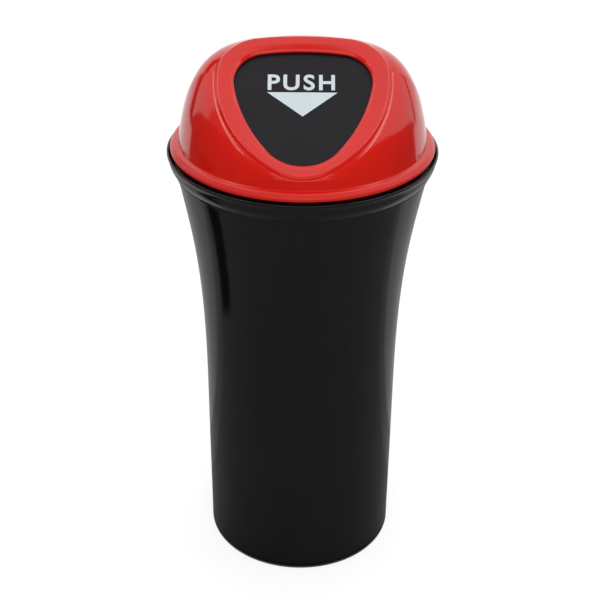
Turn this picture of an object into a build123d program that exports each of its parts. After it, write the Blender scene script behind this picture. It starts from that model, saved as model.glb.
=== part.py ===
"""Push-flap bin for a car cup holder: a tapered bin, a press-on domed lid and a spring-closed flap.

Millimetres, +Z up, origin at the middle of the base. The flap faces -Y.
"""

import os
from math import asin, atan2, cos, degrees, pi, radians, sin, sqrt, tan

from build123d import *

# Bin: a slim tapered tub that flares out to a collar and a rolled rim
base_radius = 31.85
base_edge_round = 0.5
base_draft = 0.002
foot_ring_width = 5.0
foot_recess = 0.8
floor_thickness = 2.0
floor_round = 4.0
bin_wall = 1.8
belly_height = 45.0
belly_radius = 32.03
waist_height = 86.0
waist_radius = 32.6
flare_height = 113.0
flare_radius = 34.97
collar_height = 139.6
collar_foot_radius = 39.75
collar_flare = 0.2
collar_step = 0.35
rim_height = 146.7
rim_radius = 42.6
rim_bead_radius = 0.5
rim_lead_in = 0.6

# Lid: a plug that presses into the rim, a rounded flange and a dome
seat_gap = 0.25
plug_clearance = 0.25
plug_depth = 8.0
plug_lead_in = 0.8
plug_ledge = 0.3
flange_radius = 41.4
flange_height = 2.5
flange_round = 1.45
flange_low_round = 1.0
flange_groove = 0.5
dome_radius = 38.9
dome_foot_depth = 1.0
lid_wall = 2.4

# Slanted face of the lid: its ridge is a rounded triangle, wide at the top, with bowed sides
face_angle = 33.0
ridge_front_rise = 3.75
ridge_front_setback = 0.7
ridge_corner_x = 12.15
ridge_corner_s = 36.2
ridge_corner_radius = 13.75
ridge_toe_radius = 14.55
ridge_side_radius = 38.7
ridge_top_radius = 107.0
ridge_round_out = 0.4
ridge_round_drop = 0.6
ridge_round_in = 0.8

# Swell of the dome between its round foot and the ridge of the face
side_lift = 0.1
back_lift = 0.695
side_fullness = 0.78
back_fullness = 0.48
side_fall = -7.2
back_fall = 15.4
points_per_arc = 8
dome_sections = 6

# Opening in the face, the bezel round it, and the lip that the flap closes against from inside
opening_toe_s = 4.75
opening_toe_radius = 13.1
opening_corner_x = 10.65
opening_corner_s = 34.6
opening_corner_radius = 10.15
opening_side_radius = 48.4
opening_top_radius = 82.0
bezel_ridge_land = 1.0
bezel_crease_inset = 2.7
bezel_crease_drop = 0.1
bezel_dish = 0.6
lip_thickness = 0.9
rebate_clearance = 0.5

# Flap
flap_overlap = 1.2
flap_gap = 0.3
flap_thickness = 1.6
flap_edge_round = 0.4

# Hinge behind the flap's top edge
pin_radius = 1.0
pin_clearance = 0.05
pin_overhang = 0.5
knuckle_radius = 2.0
knuckle_width = 4.4
knuckle_web = 2.8
hinge_offset = 0.4
hook_inner_x = 5.2
hook_width = 2.2
hook_mouth = 1.6
hinge_side_gap = 0.5

# Torsion spring between the hooks
spring_wire_radius = 0.35
spring_bore_clearance = 0.5
spring_turns = 4
spring_pitch = 1.0
spring_flap_leg = 10.0
spring_lid_leg = 6.0
spring_seat_gap = 0.15
spring_rest_width = 2.4

# Heights and radii that follow from the sizes above
mouth_radius = collar_foot_radius - bin_wall
floor_top = foot_recess + floor_thickness
flange_bottom = rim_height + seat_gap
flange_top = flange_bottom + flange_height
plug_radius = mouth_radius - plug_clearance
dome_foot = flange_top - dome_foot_depth
dome_inner_radius = dome_radius - lid_wall
plug_bore_radius = dome_inner_radius - plug_ledge

# Frame of the slanted face: local X across, local Y up the slope, local Z outwards
tilt = radians(face_angle)
face_plane = Plane(
    origin=(0, ridge_front_setback - dome_radius, flange_top + ridge_front_rise),
    x_dir=(1, 0, 0),
    z_dir=(0, -sin(tilt), cos(tilt)),
)

# Levels below the face, measured inwards
lip_back = -(bezel_dish + lip_thickness)
flap_front = lip_back - flap_gap
flap_back = flap_front - flap_thickness
coil_radius = pin_radius + spring_bore_clearance + spring_wire_radius
hinge_n = flap_back - spring_seat_gap - spring_wire_radius - coil_radius


class Outline:
    """Rounded triangle on the face: six tangent arcs round a toe, two sides, two corners and a top."""

    def __init__(self, toe_s, toe_radius, corner_x, corner_s, corner_radius, side_radius, top_radius):
        """Places the arcs' centres, where s runs up the slope and the outline's toe touches toe_s."""
        toe = Vector(0, toe_s + toe_radius)
        corner = Vector(corner_x, corner_s)
        span = corner - toe
        toe_reach = side_radius - toe_radius
        corner_reach = side_radius - corner_radius
        along = (toe_reach**2 - corner_reach**2 + span.length**2) / (2 * span.length)
        aside = sqrt(toe_reach**2 - along**2)
        step = span.normalized()
        side = toe + step * along + Vector(-step.Y, step.X) * aside
        top = Vector(0, corner_s - sqrt((top_radius - corner_radius) ** 2 - corner_x**2))
        self.centres = (toe, side, corner, top)
        self.radii = (toe_radius, side_radius, corner_radius, top_radius)
        toe_end = bearing_from(side, toe)
        side_end = bearing_from(side, corner)
        corner_end = bearing_from(top, corner)
        self.leans = (toe_end, side_end, corner_end)
        self.arc_ends = (*self.leans, pi - corner_end, pi - side_end, pi - toe_end, toe_end + 2 * pi)

    def point(self, bearing, inset):
        """Point whose outward normal has this bearing, moved in by the inset."""
        lean = asin(sin(bearing))
        arc = sum(lean >= end for end in self.leans)
        x = self.centres[arc].X + (self.radii[arc] - inset) * cos(lean)
        s = self.centres[arc].Y + (self.radii[arc] - inset) * sin(lean)
        return Vector(x if cos(bearing) >= 0 else -x, s)

    def face(self, inset, level):
        """Flat face bounded by the six arcs, moved in by the inset, at a level along the face's normal."""
        arcs = []
        for start, end in zip(self.arc_ends, self.arc_ends[1:]):
            bearings = (start, (start + end) / 2, end)
            arcs.append(ThreePointArc(*[self.point(bearing, inset) for bearing in bearings]))
        return face_plane * Pos(0, 0, level) * Face(Wire(arcs))

    def prism(self, inset, low, high):
        """Solid with the outline's shape between two levels along the face's normal."""
        return extrude(self.face(inset, low), high - low, dir=face_plane.z_dir)


def bearing_from(centre, point):
    """Direction from one point of the face to another, as an angle from local X."""
    return atan2(point.Y - centre.Y, point.X - centre.X)


ridge = Outline(
    0,
    ridge_toe_radius,
    ridge_corner_x,
    ridge_corner_s,
    ridge_corner_radius,
    ridge_side_radius,
    ridge_top_radius,
)
opening = Outline(
    opening_toe_s,
    opening_toe_radius,
    opening_corner_x,
    opening_corner_s,
    opening_corner_radius,
    opening_side_radius,
    opening_top_radius,
)


def dome_bearings():
    """Bearings of the dome's profiles, the same number on each arc of the outline."""
    bearings = []
    for start, end in zip(ridge.arc_ends, ridge.arc_ends[1:]):
        step = (end - start) / points_per_arc
        bearings += [start + step * index for index in range(points_per_arc)]
    return bearings


def dome_profile(bearing, inset, ridge_inset, ridge_level):
    """Four control points of the dome's profile, from the round foot up to the ridge of the face."""
    foot_radius = dome_radius - inset
    foot = Vector(foot_radius * cos(bearing), foot_radius * sin(bearing), dome_foot)
    top = face_point(bearing, ridge_inset, ridge_level)
    back_share = max(sin(bearing), 0) ** 2
    lift = side_lift + (back_lift - side_lift) * back_share
    fullness = side_fullness + (back_fullness - side_fullness) * back_share
    fall = radians(side_fall + (back_fall - side_fall) * back_share)
    reach = Vector(foot.X - top.X, foot.Y - top.Y) * fullness
    low_handle = foot + Vector(0, 0, lift * (top.Z - foot.Z))
    high_handle = top + reach - Vector(0, 0, reach.length * tan(fall))
    return foot, low_handle, high_handle, top


def face_point(bearing, inset, level):
    """Point of the ridge's outline in the part's own frame, at a level along the face's normal."""
    flat = ridge.point(bearing, inset)
    return face_plane.from_local_coords(Vector(flat.X, flat.Y, level))


def ring(points):
    """Closed smooth wire through points that stand at the same share of every ring."""
    parameters = [index / len(points) for index in range(len(points) + 1)]
    return Wire([Edge.make_spline(points, periodic=True, parameters=parameters)])


def dome_solid(inset, ridge_inset, ridge_level):
    """Loft through rings that change from the round foot into the outline of the slanted face."""
    profiles = [dome_profile(bearing, inset, ridge_inset, ridge_level) for bearing in dome_bearings()]
    rings = []
    for index in range(dome_sections):
        t = index / (dome_sections - 1)
        weights = ((1 - t) ** 3, 3 * (1 - t) ** 2 * t, 3 * (1 - t) * t**2, t**3)
        points = []
        for handles in profiles:
            points.append(sum((handle * weight for handle, weight in zip(handles, weights)), Vector()))
        rings.append(ring(points))
    return Solid.make_loft(rings)


def ridge_cap():
    """Thin rounded cap that turns the dome's ridge over into the flat of the face."""
    rings = []
    for t in (0, 0.5, 1):
        inset = ridge_round_in * t**2 - ridge_round_out * (1 - t) ** 2
        level = -ridge_round_drop * (1 - t) ** 2
        rings.append(ring([face_point(bearing, inset, level) for bearing in dome_bearings()]))
    return Solid.make_loft(rings)


def turned(edges):
    """Solid of revolution about Z from a closed profile in the XZ plane."""
    return revolve(Plane.XZ * Face(Wire(edges)), Axis.Z)


def make_bin():
    """Tub turned in one piece: foot ring, tapered wall, collar, rolled rim and hollow inside."""
    recess_radius = base_radius - foot_ring_width
    bead_x = rim_radius - rim_bead_radius
    bead_z = rim_height - rim_bead_radius
    edge_low = (base_radius - base_edge_round, 0)
    edge_mid = (base_radius - base_edge_round * (1 - cos(pi / 4)), base_edge_round * (1 - sin(pi / 4)))
    edge_high = (base_radius, base_edge_round)
    collar_foot = (collar_foot_radius, collar_height)
    collar_edge = (collar_foot_radius + collar_step, collar_height)
    bead_low = (bead_x + rim_bead_radius * cos(pi / 3), bead_z - rim_bead_radius * sin(pi / 3))
    bead_top = (bead_x, rim_height)
    lead_top = (mouth_radius + rim_lead_in, rim_height)
    lead_low = (mouth_radius, rim_height - rim_lead_in)
    mouth_foot = (mouth_radius, collar_height)
    floor_corner = (base_radius - bin_wall, floor_top + floor_round)
    floor_edge = (base_radius - bin_wall - floor_round, floor_top)
    floor_bend = (
        floor_edge[0] + floor_round * sin(pi / 4),
        floor_corner[1] - floor_round * cos(pi / 4),
    )
    draft = (base_draft, 1)
    flare = (collar_flare, 1)
    outer_wall = Spline(
        edge_high,
        (belly_radius, belly_height),
        (waist_radius, waist_height),
        (flare_radius, flare_height),
        collar_foot,
        tangents=(draft, flare),
    )
    inner_wall = Spline(
        floor_corner,
        (belly_radius - bin_wall, belly_height),
        (waist_radius - bin_wall, waist_height),
        (flare_radius - bin_wall, flare_height),
        mouth_foot,
        tangents=(draft, flare),
    )
    return turned(
        [
            Line((0, foot_recess), (recess_radius, foot_recess)),
            Line((recess_radius, foot_recess), (recess_radius, 0)),
            Line((recess_radius, 0), edge_low),
            ThreePointArc(edge_low, edge_mid, edge_high),
            outer_wall,
            Line(collar_foot, collar_edge),
            Line(collar_edge, bead_low),
            ThreePointArc(bead_low, (rim_radius, bead_z), bead_top),
            Line(bead_top, lead_top),
            Line(lead_top, lead_low),
            Line(lead_low, mouth_foot),
            inner_wall,
            ThreePointArc(floor_corner, floor_bend, floor_edge),
            Line(floor_edge, (0, floor_top)),
            Line((0, floor_top), (0, foot_recess)),
        ]
    )


def make_flange():
    """Solid plug and flange of the lid, with a shallow groove round the foot of the dome."""
    plug_bottom = flange_bottom - plug_depth
    low_x = flange_radius - flange_low_round
    low_z = flange_bottom + flange_low_round
    high_x = flange_radius - flange_round
    high_z = flange_top - flange_round
    bend = sin(pi / 4)
    groove_x = dome_radius - lid_wall / 2
    groove_z = flange_top - flange_groove
    return turned(
        [
            Line((0, plug_bottom), (plug_radius - plug_lead_in, plug_bottom)),
            Line((plug_radius - plug_lead_in, plug_bottom), (plug_radius, plug_bottom + plug_lead_in)),
            Line((plug_radius, plug_bottom + plug_lead_in), (plug_radius, flange_bottom)),
            Line((plug_radius, flange_bottom), (low_x, flange_bottom)),
            ThreePointArc(
                (low_x, flange_bottom),
                (low_x + flange_low_round * bend, low_z - flange_low_round * bend),
                (flange_radius, low_z),
            ),
            Line((flange_radius, low_z), (flange_radius, high_z)),
            ThreePointArc(
                (flange_radius, high_z),
                (high_x + flange_round * bend, high_z + flange_round * bend),
                (high_x, flange_top),
            ),
            Line((high_x, flange_top), (groove_x, groove_z)),
            Line((groove_x, groove_z), (0, groove_z)),
            Line((0, groove_z), (0, plug_bottom)),
        ]
    )


def hinge_place():
    """Place of the hinge axis: local X along the pin, in the frame of the slanted face."""
    flap_top = opening.point(pi / 2, -flap_overlap).Y
    return face_plane * Pos(0, flap_top + hinge_offset, hinge_n)


def across(radius, low_x, high_x):
    """Round bar along the pin between two places across the face."""
    bar = Cylinder(radius, high_x - low_x, align=(Align.CENTER, Align.CENTER, Align.MIN))
    return hinge_place() * Pos(low_x, 0, 0) * Rot(0, 90, 0) * bar


def hinge_block(low, high):
    """Box near the hinge, between two corners in the hinge's own frame."""
    size = [b - a for a, b in zip(low, high)]
    middle = [(a + b) / 2 for a, b in zip(low, high)]
    return hinge_place() * Pos(*middle) * Box(*size)


def make_hook(side):
    """Open hook under the top of the lid's face, into which the pin snaps from inside."""
    low_x, high_x = sorted((side * hook_inner_x, side * (hook_inner_x + hook_width)))
    wall_level = -lid_wall / 2 - hinge_n
    barrel = across(knuckle_radius, low_x, high_x)
    stem = hinge_block((low_x, 0, 0), (high_x, knuckle_radius, wall_level))
    bore = across(pin_radius + pin_clearance, low_x, high_x)
    mouth = hinge_block((low_x, -hook_mouth / 2, -2 * knuckle_radius), (high_x, hook_mouth / 2, 0))
    return barrel + stem - bore - mouth


def lid_leg_bearing():
    """Bearing at which the spring's fixed leg leaves the coil, so that it lies along the back wall."""
    return pi / 2 - radians(face_angle + back_fall)


def make_spring_rest(core):
    """Low pad inside the dome's back wall that the spring's fixed leg presses on."""
    near = coil_radius + spring_wire_radius + spring_seat_gap
    pad = Box(
        spring_rest_width,
        near + lid_wall,
        spring_lid_leg,
        align=(Align.CENTER, Align.MIN, Align.MAX),
    )
    turn = Rot(degrees(lid_leg_bearing()), 0, 0)
    return hinge_place() * Pos(spring_start(), 0, 0) * turn * Pos(0, near, 0) * pad & core


def make_lid():
    """Moulded lid: plug, flange and dome, hollow inside, with the opening, its lip and the hooks."""
    shell = make_flange() + dome_solid(0, -ridge_round_out, -ridge_round_drop) + ridge_cap()
    bore_height = dome_foot_depth + plug_depth + flange_height
    bore = Cylinder(plug_bore_radius, bore_height, align=(Align.CENTER, Align.CENTER, Align.MAX))
    shell -= Pos(0, 0, flange_top) * bore
    shell -= dome_solid(lid_wall, lid_wall, -lid_wall)
    dish_rim = ridge.face(bezel_ridge_land, 0)
    dish_crease = ridge.face(bezel_crease_inset, -bezel_crease_drop)
    dish_floor = opening.face(0, -bezel_dish)
    dish_steps = [step.outer_wire() for step in (dish_rim, dish_crease, dish_floor)]
    shell -= Solid.make_loft(dish_steps, ruled=True)
    shell -= opening.prism(0, -2 * lid_wall, lid_wall)
    shell -= opening.prism(-flap_overlap - rebate_clearance, -2 * lid_wall, lip_back)
    core = dome_solid(lid_wall / 2, lid_wall / 2, -lid_wall / 2)
    for side in (-1, 1):
        shell += make_hook(side) & core
    return shell + make_spring_rest(core)


def make_flap():
    """Flap plate with two knuckles behind its top edge."""
    plate = opening.prism(-flap_overlap, flap_back, flap_front)
    front_edges = []
    for edge in plate.edges():
        depth = face_plane.to_local_coords(edge.center()).Z - flap_front
        if abs(depth) < flap_gap / 2:
            front_edges.append(edge)
    flap = fillet(front_edges, flap_edge_round)
    near = hook_inner_x + hook_width + hinge_side_gap
    for side in (-1, 1):
        low_x, high_x = sorted((side * near, side * (near + knuckle_width)))
        web_low = (low_x, -hinge_offset - knuckle_web, 0)
        web_high = (high_x, -hinge_offset, flap_back - hinge_n)
        flap += across(knuckle_radius, low_x, high_x)
        flap += hinge_block(web_low, web_high)
        flap -= across(pin_radius + pin_clearance, low_x, high_x)
    return flap


def make_pin():
    """Plain steel pin through the hooks and the knuckles."""
    half = hook_inner_x + hook_width + hinge_side_gap + knuckle_width + pin_overhang
    return across(pin_radius, -half, half)


def spring_start():
    """Place across the face where the coil begins, at the fixed leg."""
    return -spring_turns * spring_pitch / 2


def make_spring():
    """Torsion spring: a coil round the pin, one leg on the back wall and one behind the flap."""
    bearing = lid_leg_bearing()
    height = spring_pitch * (spring_turns + (pi / 2 - bearing) / (2 * pi))
    coil = Rot(0, 0, degrees(bearing)) * Helix(spring_pitch, height, coil_radius)
    lid_leg = Line(coil @ 0 + Vector(sin(bearing), -cos(bearing)) * spring_lid_leg, coil @ 0)
    flap_leg = Line(coil @ 1, coil @ 1 - Vector(spring_flap_leg, 0))
    section = Plane(origin=lid_leg @ 0, z_dir=lid_leg % 0) * Circle(spring_wire_radius)
    wire = Wire([lid_leg, coil.edge(), flap_leg])
    spring = sweep(section, path=wire, is_frenet=True, transition=Transition.RIGHT)
    coil_plane = Plane(origin=(spring_start(), 0, 0), x_dir=(0, 1, 0), z_dir=(1, 0, 0))
    return hinge_place() * coil_plane.location * spring


os.makedirs("parts", exist_ok=True)
export_step(make_bin(), "parts/bin.step")
export_step(make_lid(), "parts/lid.step")
export_step(make_flap(), "parts/flap.step")
export_step(make_pin(), "parts/hinge_pin.step")
export_step(make_spring(), "parts/torsion_spring.step")
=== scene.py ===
# %% [markdown]
# # A push-flap bin for a car cup holder
#
# The CAD solids give the bin its exact size, its bodies and its joints. This notebook dresses them for a
# studio picture. Glossy plastic shows every facet and every kink of a surface as a broken reflection, so
# the bin and the lid are made again here as fine, continuous surfaces with softened edges. The flap and
# the hinge pin keep their CAD meshes, and the printed legend and a spring are added.

import math

import bmesh
import bpy
import numpy as np
from mathutils import Matrix


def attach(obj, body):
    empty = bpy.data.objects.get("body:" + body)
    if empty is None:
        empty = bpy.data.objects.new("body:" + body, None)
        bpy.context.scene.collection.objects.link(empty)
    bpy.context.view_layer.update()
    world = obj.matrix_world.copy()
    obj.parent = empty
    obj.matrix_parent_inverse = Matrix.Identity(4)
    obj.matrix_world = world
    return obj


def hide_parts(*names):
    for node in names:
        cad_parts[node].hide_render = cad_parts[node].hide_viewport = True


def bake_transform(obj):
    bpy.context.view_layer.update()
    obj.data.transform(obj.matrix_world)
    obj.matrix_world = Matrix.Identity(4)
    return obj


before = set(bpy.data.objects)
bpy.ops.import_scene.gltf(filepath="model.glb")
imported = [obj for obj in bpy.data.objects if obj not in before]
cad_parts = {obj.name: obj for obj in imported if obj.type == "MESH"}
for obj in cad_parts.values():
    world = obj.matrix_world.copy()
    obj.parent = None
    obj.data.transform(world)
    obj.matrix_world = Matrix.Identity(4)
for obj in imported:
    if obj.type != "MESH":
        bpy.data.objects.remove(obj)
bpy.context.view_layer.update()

# %% [markdown]
# ## Sizes
#
# All sizes of the object are in millimetres, and a place on a turned profile is a radius and a height. The
# sizes are those of the solids, apart from the rim, the collar, the flange and the edge of the opening.
# There the skins differ by a few tenths of a millimetre, which sets how wide the highlights on these small
# rounds look. Sizes are turned into metres only when a mesh is made.

# %% Sizes of the bin
BASE_RADIUS = 31.85
BASE_ROUND = 0.5
FOOT_RING = 5.0
FOOT_RING_ROUND = 0.3
FOOT_RECESS = 0.8
FLOOR_TOP = 2.8
FLOOR_ROUND = 4.0
BIN_WALL = 1.8

WALL_START = (BASE_RADIUS, 3.0)
BELLY = (32.03, 45.0)
WAIST = (32.6, 86.0)
FLARE = (34.97, 113.0)
COLLAR_FOOT = (39.75, 139.6)
WALL_START_WAY = (0.002, 1)
WALL_END_WAY = (0.2, 1)

# Each corner of the collar lies that far out from its foot and that far up.
COLLAR_CORNERS = [(0.55, 0.0), (0.6, 0.9), (2.1, 3.1)]
COLLAR_ROUNDS = [0.15, 0.3, 0.6, 9.0]
RIM_TOP = 146.35
RIM_RADIUS = 42.6
BEAD_RADIUS = 0.5
RIM_LAND = 0.5
RIM_SLOPE_IN = 1.9
RIM_SLOPE_DOWN = 0.7
LEAD_IN = 0.6
MOUTH_RADIUS = COLLAR_FOOT[0] - BIN_WALL
MOUTH_ROUNDS = [0.22, 0.2, 0.3, 0.3, 0.3]
print("bin: base radius", BASE_RADIUS, "mm, mouth radius", MOUTH_RADIUS, "mm")

# %% Sizes of the lid
PLUG_LOW = 138.95
PLUG_RADIUS = 37.7
PLUG_BORE = 36.2
PLUG_LEAD = 0.8
DOME_RADIUS = 38.9
DOME_FOOT = 148.45
LID_WALL = 2.4

FLANGE_LOW = 146.95
FLANGE_TOP = 149.45
FLANGE_RADIUS = 41.5
FLANGE_EDGE = 1.0
SHOULDER_OUT = 1.5
SHOULDER_DOWN = 0.25
FILLET_UP = 0.05
DOME_JOIN = FLANGE_TOP + 0.5
FLANGE_ROUNDS = [0.1, 0.2, 0.2, 0.3, 0.2, 0.45, 0.8, 0.6, 0.15]

# Each pair holds the value at the front and the sides, and the value at the back.
DOME_LIFT = (0.1, 0.695)
DOME_FULLNESS = (0.78, 0.48)
DOME_FALL_DEGREES = (-7.2, 15.4)
print("lid: plug radius", PLUG_RADIUS, "mm, flange radius", FLANGE_RADIUS, "mm")

# %% Sizes of the slanted face
FACE_ANGLE = math.radians(33.0)
FACE_ORIGIN = np.array([0.0, -38.2, 153.2])
RIDGE_SIZES = {
    "toe_up": 0.0,
    "toe_radius": 14.55,
    "corner_across": 12.15,
    "corner_up": 36.2,
    "corner_radius": 13.75,
    "side_radius": 38.7,
    "top_radius": 107.0,
}
OPENING_SIZES = {
    "toe_up": 4.75,
    "toe_radius": 13.1,
    "corner_across": 10.65,
    "corner_up": 34.6,
    "corner_radius": 10.15,
    "side_radius": 48.4,
    "top_radius": 82.0,
}

# Levels are measured along the face's outward normal, the crease and the bezel inwards from the ridge.
RIDGE_OUT = 0.4
RIDGE_DROP = 0.6
RIDGE_IN = 0.8
CREASE = 2.7
CREASE_LEVEL = -0.1
BEZEL = 5.0
BEZEL_LEVEL = -0.6
EDGE_CUT = 0.7
EDGE_CUT_RISE = 0.15
EDGE_CUT_DROP = 0.25
DISH_ROUNDS = [0.6, 0.5, 0.2]
LIP_LEVEL = -1.5
LIP_START = LIP_LEVEL + 0.2
LIP_ROUNDS = [0.12, 0.1]
REBATE = 1.7
print("face: slanted by", round(math.degrees(FACE_ANGLE), 1), "degrees, bezel", BEZEL, "mm wide")

# %% Sizes of the hinge, the spring and the print
HINGE_UP = 47.144
HINGE_LEVEL = -5.75
PIN_BORE = 1.05
KNUCKLE_RADIUS = 2.0
HOOK_ACROSS = 5.2
HOOK_WIDTH = 2.2
HOOK_MOUTH = 1.6

WIRE_RADIUS = 0.35
COIL_RADIUS = 1.85
COIL_PITCH = 1.0
COIL_START = -2.0
COIL_TURNS = 4
LEG_BEARING = math.radians(41.6)
LID_LEG = 6.0
FLAP_LEG = 10.0
PAD_GAP = 0.15
PAD_THICKNESS = 1.0
PAD_HALF_WIDTH = 1.2

FLAP_FRONT = -1.8
INK_THICKNESS = 0.03
WORD_CORNER = np.array([-10.6, 31.95])
WORD_SIZE = np.array([20.15, 5.75])
ARROW_CORNERS = np.array([(-10.75, 31.2), (10.35, 31.2), (-0.05, 22.6)])
print("hinge at", HINGE_UP, "mm up the face, coil of", COIL_TURNS, "turns")

# %% Numbers of points
ROUND_STEPS = 8
WALL_STEPS = 34
INSIDE_STEPS = 24
FLOOR_STEPS = 10
BIN_SEGMENTS = 288
LID_SEGMENTS = 400
DOME_STEPS = 56
DOME_INSIDE_STEPS = 36
JOIN_HALVINGS = 40
RIDGE_STEPS = 10
LIP_STEPS = 5
HOOK_QUARTER_STEPS = 12
HOOK_HALF_STEPS = 24
HOOK_BORE_STEPS = 32
LEG_STEPS = 24
COIL_STEPS = 220
WIRE_SEGMENTS = 20
print("the bin has", BIN_SEGMENTS, "segments, the lid", LID_SEGMENTS, "and the wire", WIRE_SEGMENTS)

# %% [markdown]
# ## Tools for profiles
#
# A moulded part is never sharp: the mould's own edges are rounded by a few tenths of a millimetre, and those
# small rounds catch the thin highlights that make an edge readable. Bevels on a finished mesh could do it,
# but they follow the mesh and not the drawing. Here the drawing itself is rounded: `soften` puts an arc into
# each corner of a profile, and `flowing` draws the long walls as one smooth curve.


# %% Tools for profiles
def soften(corners, radii, steps=6):
    """Profile through the corners, with an arc of its own radius in each inner corner.

    An arc starts and ends at a distance from its corner of the radius divided by the tangent of half the
    corner's angle, or of 0.45 times the shorter side where that is less. Its points are the centre plus the
    start and the end, weighted by the sines of the angles still to go and already turned.
    """
    most_of_side = 0.45
    corners = np.asarray(corners, float)
    made = [corners[:1]]
    for before, here, after, radius in zip(corners, corners[1:], corners[2:], radii):
        to_before, to_after = before - here, after - here
        reach_before, reach_after = np.linalg.norm(to_before), np.linalg.norm(to_after)
        to_before, to_after = to_before / reach_before, to_after / reach_after
        half_angle = math.acos(np.clip(to_before @ to_after, -1.0, 1.0)) / 2
        cut = min(radius / math.tan(half_angle), most_of_side * reach_before, most_of_side * reach_after)
        centre_way = to_before + to_after
        centre_way /= np.linalg.norm(centre_way)
        centre = here + centre_way * cut / math.cos(half_angle)
        turn = np.linspace(0, 1, steps)[:, None]
        start, end = here + to_before * cut - centre, here + to_after * cut - centre
        sweep = math.pi - 2 * half_angle
        arc = (np.sin((1 - turn) * sweep) * start + np.sin(turn * sweep) * end) / math.sin(sweep)
        made.append(centre + arc)
    made.append(corners[-1:])
    return np.vstack(made)


def flowing(knots, start_way, end_way, steps):
    """Smooth curve through the knots, with given directions at its two ends.

    Between two knots it is the cubic that has their places and directions. The inner directions are solved
    so that the curvature doesn't jump at a knot.
    """
    knots = np.asarray(knots, float)
    spans = np.linalg.norm(np.diff(knots, axis=0), axis=1)
    count = len(knots)
    left, right = np.eye(count), np.zeros((count, 2))
    right[0] = np.asarray(start_way) / np.linalg.norm(start_way)
    right[-1] = np.asarray(end_way) / np.linalg.norm(end_way)
    for i in range(1, count - 1):
        near, far = spans[i - 1], spans[i]
        left[i, i - 1 : i + 2] = far, 2 * (near + far), near
        right[i] = 3 * (far / near * (knots[i] - knots[i - 1]) + near / far * (knots[i + 1] - knots[i]))
    ways = np.linalg.solve(left, right)
    u = np.linspace(0, 1, steps, endpoint=False)[:, None]
    made = []
    for i, span in enumerate(spans):
        made.append(
            (2 * u**3 - 3 * u**2 + 1) * knots[i]
            + (u**3 - 2 * u**2 + u) * span * ways[i]
            + (3 * u**2 - 2 * u**3) * knots[i + 1]
            + (u**3 - u**2) * span * ways[i + 1]
        )
    return np.vstack([*made, knots[-1:]])


# %% [markdown]
# ## Tools for surfaces
#
# Every surface here is a table of points that a formula fills. `turned` swings a profile round the upright
# axis, `grid` joins a table of points into quads, and `piece` makes the mesh and hangs it on its CAD body.

# %% Tools for surfaces
MILLIMETRE = 0.001
WELD_DISTANCE = 1e-8


def grid(rows, columns, wrap_rows, wrap_columns):
    """Quads that join a table of points, and its last row or column to its first where it wraps."""
    index = np.arange(rows * columns).reshape(rows, columns)
    if wrap_rows:
        index = np.vstack([index, index[:1]])
    if wrap_columns:
        index = np.hstack([index, index[:, :1]])
    corners = [index[:-1, :-1], index[1:, :-1], index[1:, 1:], index[:-1, 1:]]
    return np.stack(corners, axis=-1).reshape(-1, 4)


def turned(profile, bearings):
    """Profile of radius and height at every bearing round the upright axis.

    Across and deep are the radius times the cosine and the sine of the bearing, and up is the height.
    """
    bearings = np.reshape(bearings, (-1, 1))
    radius, height = profile[:, 0], profile[:, 1]
    across, deep = radius * np.cos(bearings), radius * np.sin(bearings)
    return np.stack([across, deep, height + 0 * bearings], axis=-1)


def piece(name, points, faces, body, made_of):
    """Smooth mesh from points in millimetres, welded where points meet, riding on a CAD body."""
    mesh = bpy.data.meshes.new(name)
    mesh.from_pydata(points.reshape(-1, 3) * MILLIMETRE, [], faces, shade_flat=False)
    shape = bmesh.new()
    shape.from_mesh(mesh)
    bmesh.ops.remove_doubles(shape, verts=shape.verts, dist=WELD_DISTANCE)
    bmesh.ops.recalc_face_normals(shape, faces=shape.faces)
    shape.to_mesh(mesh)
    shape.free()
    mesh.materials.append(made_of)
    made = bpy.data.objects.new(name, mesh)
    bpy.context.scene.collection.objects.link(made)
    if body:
        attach(made, body)
    print(name, "has", len(mesh.polygons), "faces")
    return made


# %% [markdown]
# ## Tools for materials
#
# Both big parts are polished injection mouldings: a strong colour under a clear, smooth surface. Real
# mouldings aren't perfect, so the colour drifts a little, the gloss has faint patches where the melt cooled
# unevenly, and a very shallow ripple softens the reflections. Painted pictures could show that too, but
# patterns in object space need no seams, and they stay on the part when it moves. Heights and depths in
# them are in metres.

# %% Tools for materials
NOISE_SPAN = (0.3, 0.7)
TONE_SPAN = (0.35, 0.65)
# Each pair holds the number of patches in a metre and the depth of detail.
COLOUR_DRIFT = (45, 3)
GLOSS_PATCHES = (160, 4)
STEEL_TONES = (900, 4)
STEEL_GLOSS = (2400, 5)
RIPPLE_DETAIL = 2
SATIN_ROUGHNESS = 0.34
SATIN_FADE = 0.0002


def material(name):
    """New node material: the material, its main shader, its nodes, its links and the object's own places."""
    made = bpy.data.materials.new(name)
    made.use_nodes = True
    nodes, links = made.node_tree.nodes, made.node_tree.links
    shader = nodes["Principled BSDF"]
    place = nodes.new("ShaderNodeTexCoord").outputs["Object"]
    return made, shader, nodes, links, place


def noise(nodes, links, place, patches, detail):
    """Cloudy pattern in object space."""
    pattern = nodes.new("ShaderNodeTexNoise")
    pattern.inputs["Scale"].default_value = patches
    pattern.inputs["Detail"].default_value = detail
    links.new(place, pattern.inputs["Vector"])
    return pattern.outputs["Fac"]


def rescaled(nodes, links, value, low, high, start=0.0, end=1.0):
    """Node whose result goes evenly from low to high while the value goes from start to end."""
    made = nodes.new("ShaderNodeMapRange")
    for socket, number in (("From Min", start), ("From Max", end), ("To Min", low), ("To Max", high)):
        made.inputs[socket].default_value = number
    links.new(value, made.inputs["Value"])
    return made


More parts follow.
